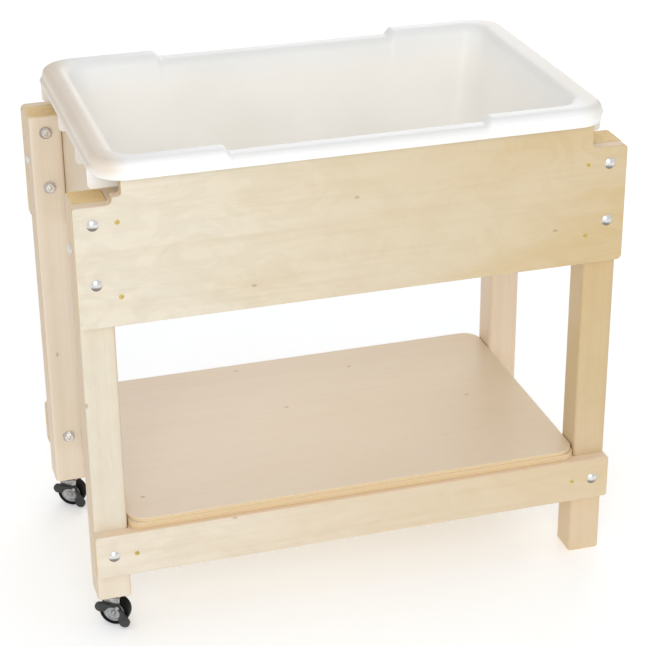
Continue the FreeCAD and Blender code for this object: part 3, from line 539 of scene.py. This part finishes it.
def quarter(count):
    """Angles of a quarter turn in equal steps."""
    return spaced(0.0, math.pi / 2, count)


def perimeter():
    """Points round the tub as (kind, turn, value): corner arcs, and stations along the straight sides."""
    dip_stations = [DIP_HALF + DIP_RUN * k / 6 for k in range(-1, 8)]
    half = sorted(COARSE_STATIONS + dip_stations)
    along_x = [-v for v in reversed(half[1:])] + half
    along_y = spaced(-LAST_STATION_Y, LAST_STATION_Y, 6)
    steps = []
    for turn in range(4):
        steps += [("arc", turn, k / CORNER_COLUMNS) for k in range(CORNER_COLUMNS + 1)]
        stations = along_x if turn in (0, 2) else along_y
        steps += [("side", turn, v) for v in sorted(stations, reverse=turn in (0, 1))]
    return steps


STEPS = perimeter()


def loop(half, radius, z, dip=0.0, bead=0.0):
    """One ring of points round the tub at a height; dip lowers the long sides, bead swells the ends."""
    points = []
    fit_x = min(1.0, (half.x - radius) / LAST_STATION_X)
    fit_y = min(1.0, (half.y - radius) / LAST_STATION_Y)
    for kind, turn, value in STEPS:
        if kind == "arc":
            a = math.radians(90 * turn + 90 * value)
            sx = 1 if turn in (0, 3) else -1
            sy = 1 if turn in (0, 1) else -1
            x = sx * (half.x - radius) + radius * math.cos(a)
            y = sy * (half.y - radius) + radius * math.sin(a)
            outward = abs(math.cos(a))
        elif turn in (0, 2):
            x = value * fit_x
            y = half.y if turn == 0 else -half.y
            outward = 0.0
        else:
            x = -half.x if turn == 1 else half.x
            y = value * fit_y
            outward = 1.0
        x += math.copysign(bead * smooth(outward, 0.93, 1.0), x)
        long_side = kind == "side" and turn in (0, 2)
        drop = dip * (1 - smooth(abs(x), DIP_HALF, DIP_HALF + DIP_RUN)) if long_side else 0.0
        points.append(Vector((x, y, z - drop)))
    return points


def rim_loop(inward, z, dip=0.0, bead=0.0):
    """Ring on the rim, a given distance inwards from the skirt's outer face."""
    part = inward / SPAN
    return loop(RIM.lerp(LIP, part), RIM_CORNER + (LIP_CORNER - RIM_CORNER) * part, z, dip, bead)


def wall_loop(part, z, grow, dip=0.0):
    """Ring on the basin wall; part is 0 at the lip and 1 at the floor, grow moves it outwards."""
    radius = LIP_CORNER + (FLOOR_CORNER - LIP_CORNER) * part + grow
    return loop(LIP.lerp(FLOOR, part) + Vector((grow, grow)), max(radius, SMALLEST_CORNER), z, dip)


def skirt_dip(z):
    """How far a ring of the skirt drops in the middle of the long sides."""
    return DIP * smooth(z, SKIRT_BOTTOM + 3 * MM, RIM_TOP - RIM_ROUND)


def bead_at(z):
    """Swelling of the skirt on the short sides."""
    away = abs(z - BEAD_Z) / BEAD_HALF
    return BEAD_OUT * math.cos(math.pi / 2 * away) ** 2 if away < 1 else 0.0


def basin_loops(floor_z, top_z, grow, bend):
    """Rings of one face of the basin, from the middle of the floor up to the lip."""
    rings = [wall_loop(1.0, floor_z, grow - bend - inset * MM) for inset in FLOOR_INSETS]
    for a in quarter(8):
        rings.append(wall_loop(1.0, floor_z + bend * (1 - math.cos(a)), grow - bend * (1 - math.sin(a))))
    levels = zip(spaced(floor_z + bend, top_z, WALL_RINGS)[1:], spaced(1.0, 0.0, WALL_RINGS)[1:])
    for z, part in levels:
        rings.append(wall_loop(part, z, grow, DIP * smooth(z, top_z - DIP_FADE, top_z)))
    return rings


def inside_rim_loops():
    """Rings from the outer face of the basin, under the rim and down the inner face of the skirt."""
    rings = []
    under = RIM_TOP - WALL
    bend, turn = LIP_ROUND - WALL, RIM_ROUND - WALL
    for a in quarter(5)[1:]:
        rings.append(rim_loop(SPAN - WALL - bend * (1 - math.cos(a)), under - bend * (1 - math.sin(a)), DIP))
    flat = SPAN - LIP_ROUND - RIM_ROUND
    for part in (0.33, 0.66):
        rings.append(rim_loop(RIM_ROUND + flat * (1 - part), under, DIP))
    for a in quarter(4):
        rings.append(rim_loop(RIM_ROUND - turn * math.sin(a), under - turn * (1 - math.cos(a)), DIP))
    for z in reversed(spaced(SKIRT_BOTTOM + HEM, under - turn, 9)[:-1]):
        rings.append(rim_loop(WALL, z, skirt_dip(z), bead_at(z)))
    return rings


def outside_rim_loops():
    """Rings round the skirt's lower edge, up its outer face and over the rim to the lip."""
    rings = []
    for a in spaced(0.0, math.pi, 6)[1:-1]:
        rings.append(rim_loop(WALL / 2 * (1 + math.cos(a)), SKIRT_BOTTOM + HEM * (1 - math.sin(a))))
    crest = RIM_TOP - RIM_ROUND
    for z in spaced(SKIRT_BOTTOM + HEM, crest, 16):
        rings.append(rim_loop(0.0, z, skirt_dip(z), bead_at(z)))
    for a in quarter(7)[1:]:
        z = crest + RIM_ROUND * math.sin(a)
        rings.append(rim_loop(RIM_ROUND * (1 - math.cos(a)), z, DIP, bead_at(z)))
    flat = SPAN - LIP_ROUND - RIM_ROUND
    for part in (0.3, 0.7):
        rings.append(rim_loop(RIM_ROUND + flat * part, RIM_TOP - CROWN * part, DIP))
    for a in quarter(7)[:-1]:
        z = RIM_TOP - CROWN - LIP_ROUND * (1 - math.cos(a))
        rings.append(rim_loop(SPAN - LIP_ROUND * (1 - math.sin(a)), z, DIP))
    return rings


def tub_loops():
    """Rings over the whole skin: under the floor, up the outside, round the rim, down the inside."""
    outer = basin_loops(TUB_LOW.z, RIM_TOP - LIP_ROUND, WALL, FLOOR_ROUND + WALL)
    inner = basin_loops(TUB_LOW.z + WALL, RIM_TOP - LIP_ROUND - CROWN, 0.0, FLOOR_ROUND)
    return outer + inside_rim_loops() + outside_rim_loops() + inner[::-1]


def skin(bm, rings):
    """Quads between successive rings, and a cap on both ends."""
    rows = [[bm.verts.new(p) for p in ring] for ring in rings]
    count = len(rows[0])
    for low, high in zip(rows, rows[1:]):
        for i in range(count):
            j = (i + 1) % count
            bm.faces.new((low[i], low[j], high[j], high[i]))
    bm.faces.new(list(reversed(rows[0])))
    bm.faces.new(rows[-1])


def rib(bm, side, x0, lean, y, bottom, x1):
    """Moulded rib under a short side of the rim: a thin sheet with a rounded lower outer corner."""
    tuck, roof = RIM.x - RIB_COVER, RIM_TOP - RIB_COVER
    outline = [(max(x0, LIP.x + LIP_ROUND), roof), (x0, roof - LIP_ROUND), (x0 - lean, bottom)]
    for a in quarter(6):
        outline.append((x1 - RIB_ROUND * (1 - math.sin(a)), bottom + RIB_ROUND * (1 - math.cos(a))))
    outline += [(x1, BEAD_Z - 2 * MM), (tuck, BEAD_Z + 4 * MM), (tuck, RIM_TOP - RIM_ROUND),
                (RIM.x - RIM_ROUND, roof)]
    near, far = ([bm.verts.new((side * x, y + offset * RIB_THICK, z)) for x, z in outline]
                 for offset in (-0.5, 0.5))
    bm.faces.new(near)
    bm.faces.new(list(reversed(far)))
    for i in range(len(outline)):
        j = (i + 1) % len(outline)
        bm.faces.new((near[i], far[i], far[j], near[j]))


def ribs(bm):
    """Wide ribs at the corners of the basin, narrow ones just outside the end aprons."""
    mid_start = abs(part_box("left_end_apron")[0].x) + RIB_MID_GAP
    kinds = ((RIB_END_START, RIB_END_LEAN, RIB_END), (mid_start, 0.0, RIB_MID))
    for side in (-1, 1):
        for turn in (-1, 1):
            for start, lean, (y, bottom, reach) in kinds:
                rib(bm, side, start, lean, turn * y, bottom, reach)


def make_tub(material):
    """The whole tub as one mesh that stands for the plain one."""
    bm = bmesh.new()
    skin(bm, tub_loops())
    ribs(bm)
    bmesh.ops.recalc_face_normals(bm, faces=bm.faces)
    mesh = bpy.data.meshes.new("tub_shell")
    bm.to_mesh(mesh)
    bm.free()
    tub = bpy.data.objects.new("tub_shell", mesh)
    bpy.context.scene.collection.objects.link(tub)
    mesh.materials.append(material)
    mesh.shade_smooth()
    mesh.set_sharp_from_angle(angle=SHARP_ANGLE)
    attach(tub, "tub")
    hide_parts("tub")


# ------------------------------------------------------------------ dressing the CAD nodes
# the axis of each board's face grain, and the axis of its thickness
BOARDS = {
    "front_apron": ("X", "Y"), "back_apron": ("X", "Y"),
    "left_end_apron": ("Y", "X"), "right_end_apron": ("Y", "X"),
    "front_rail": ("X", "Y"), "back_rail": ("X", "Y"),
    "left_end_rail": ("Y", "X"), "right_end_rail": ("Y", "X"),
    "shelf_board": ("X", "Z"), "lid_board": ("X", "Z"),
}
PLY_COUNT, LID_PLY_COUNT = 9, 4
LEG_BOARDS = 3
FIRST_BOARD_SEED, FIRST_LEG_SEED = 1, 20

# how single pieces of wood differ from the common birch; the paling of the back legs and the left end apron is
# painted light that lifts their shade, the warmth of the front right leg and the left end apron is painted shade,
# and the side faces of the left legs get painted shade
SHADES = {
    "lid_board": {"paling_and_painted_light": 0.72, "fade": 0.45, "marks": 0.35},
    "shelf_board": {"paling_and_painted_light": 0.3, "marks": 0.6},
    "left_end_apron": {"warmth_and_painted_shade": 0.4, "paling_and_painted_light": 0.3, "marks": 0.5},
    "right_end_apron": {"marks": 0.6},
    "front_rail": {"paling_and_painted_light": 0.22},
    "front_left_leg": {"side_shade": 0.6},
    "front_right_leg": {"warmth_and_painted_shade": 0.17, "side_shade": 0.0},
    "back_right_leg": {"paling_and_painted_light": 0.7},
    "back_left_leg": {"paling_and_painted_light": 0.45, "side_shade": 0.6},
}

# what stands for each plain material; zinc goes by a word in the node's name
LOOKS = {"yellow_steel": "yellow_plate", "hub_plastic": "hub_grey", "tyre_rubber": "tyre_black",
         "lever_plastic": "lever_black"}
ZINC_LOOKS = {"caster": "caster_steel", "washers": "washer_plate", "nuts": "nut_plate"}


def dress(node, material):
    """Makes this the one material of a CAD node."""
    data = NODES[node].data
    data.materials.clear()
    data.materials.append(material)
    for polygon in data.polygons:
        polygon.material_index = 0


def look_of(node, slot):
    """Name of the steel, plastic or rubber of a node, or None for wood and the tub."""
    if slot != "zinc_steel":
        return LOOKS.get(slot)
    words = [word for word in ZINC_LOOKS if word in node]
    return ZINC_LOOKS[words[0]] if words else "zinc_plate"


def dress_all():
    """A material for every node that stays visible."""
    for seed, (node, (grain, thick)) in enumerate(BOARDS.items(), FIRST_BOARD_SEED):
        low, high = (corner[AXES.index(thick)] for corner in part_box(node))
        plies = (LID_PLY_COUNT if node == "lid_board" else PLY_COUNT) / 2 / (high - low)
        dress(node, plywood("ply_" + node, grain, thick, low, plies, seed, **SHADES.get(node, {})))
    legs = [node for node in NODES if node.endswith("_leg")]
    for seed, node in enumerate(legs, FIRST_LEG_SEED):
        low, high = (corner.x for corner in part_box(node))
        dress(node, solid_wood("wood_" + node, low, (high - low) / LEG_BOARDS, seed, **SHADES.get(node, {})))
    made = {name: plated_steel(name) for name in PLATINGS}
    made.update((name, moulded(name)) for name in MOULDINGS)
    for part in frame["record"]["subparts"]:
        look = look_of(part["node"], part["material_slot"])
        if look:
            dress(part["node"], made[look])


# ------------------------------------------------------------------ studio and camera
FLOOR_SIZE, FLOOR_DROP = 24, 0.5 * MM
SKY_LIGHT, SKY_SEEN = 0.61, 0.93        # the backdrop looks paler than the light it sheds
TARGET = Vector((0, 0, 0.45))
# place, side, power and colour of each soft light
LAMPS = {"key": ((-0.95, -3.5, 2.25), 2.4, 46, (1, 0.998, 0.99)), "back": ((1.6, 3.2, 2.1), 2.6, 28, (1, 1, 1))}

EYE = (-0.8661, -2.9788, 1.8866)
RIGHTWARD = Vector((0.95828, -0.28567, -0.01037))
UPWARD = Vector((0.13412, 0.41728, 0.89883))
FORWARD = Vector((0.25244, 0.86271, -0.43818))
SENSOR_MM, LENS_MM = 36.0, 108.6
SHIFT_X, SHIFT_Y = 0.0046, 0.0258


def area_light(name, place, side, power, colour):
    """Soft square light aimed at the table."""
    data = bpy.data.lights.new(name, "AREA")
    data.shape = "SQUARE"
    data.size = side
    data.energy = power
    data.color = colour
    lamp = bpy.data.objects.new(name, data)
    lamp.location = place
    lamp.rotation_euler = (TARGET - Vector(place)).to_track_quat("-Z", "Y").to_euler()
    bpy.context.scene.collection.objects.link(lamp)


def studio():
    """Pale floor, soft light, pale surroundings."""
    bpy.ops.mesh.primitive_plane_add(size=FLOOR_SIZE, location=(0, 0, -FLOOR_DROP))
    floor = bpy.context.object
    floor.name = "floor"
    floor.data.materials.append(floor_material())
    world = bpy.data.worlds.new("studio")
    world.use_nodes = True
    tree = world.node_tree
    sky = tree.nodes["Background"]
    sky.inputs["Color"].default_value = (1, 1, 1, 1)
    strength = tree.nodes.new("ShaderNodeMapRange")
    strength.inputs["To Min"].default_value = SKY_LIGHT
    strength.inputs["To Max"].default_value = SKY_SEEN
    seen = tree.nodes.new("ShaderNodeLightPath").outputs["Is Camera Ray"]
    tree.links.new(seen, strength.inputs["Value"])
    tree.links.new(strength.outputs["Result"], sky.inputs["Strength"])
    scene = bpy.context.scene
    scene.world = world
    for name, lamp in LAMPS.items():
        area_light(name, *lamp)
    scene.view_settings.view_transform = "Standard"
    scene.view_settings.look = "None"


def camera():
    """Camera in front, left of the middle, looking down at the table."""
    data = bpy.data.cameras.new("camera")
    data.sensor_width = SENSOR_MM
    data.lens = LENS_MM
    data.shift_x = SHIFT_X
    data.shift_y = SHIFT_Y
    turn = Matrix((RIGHTWARD, UPWARD, -FORWARD)).transposed()
    eye = bpy.data.objects.new("camera", data)
    eye.matrix_world = Matrix.Translation(EYE) @ turn.to_4x4()
    bpy.context.scene.collection.objects.link(eye)
    bpy.context.scene.camera = eye


make_tub(tub_plastic())
dress_all()
studio()
camera()
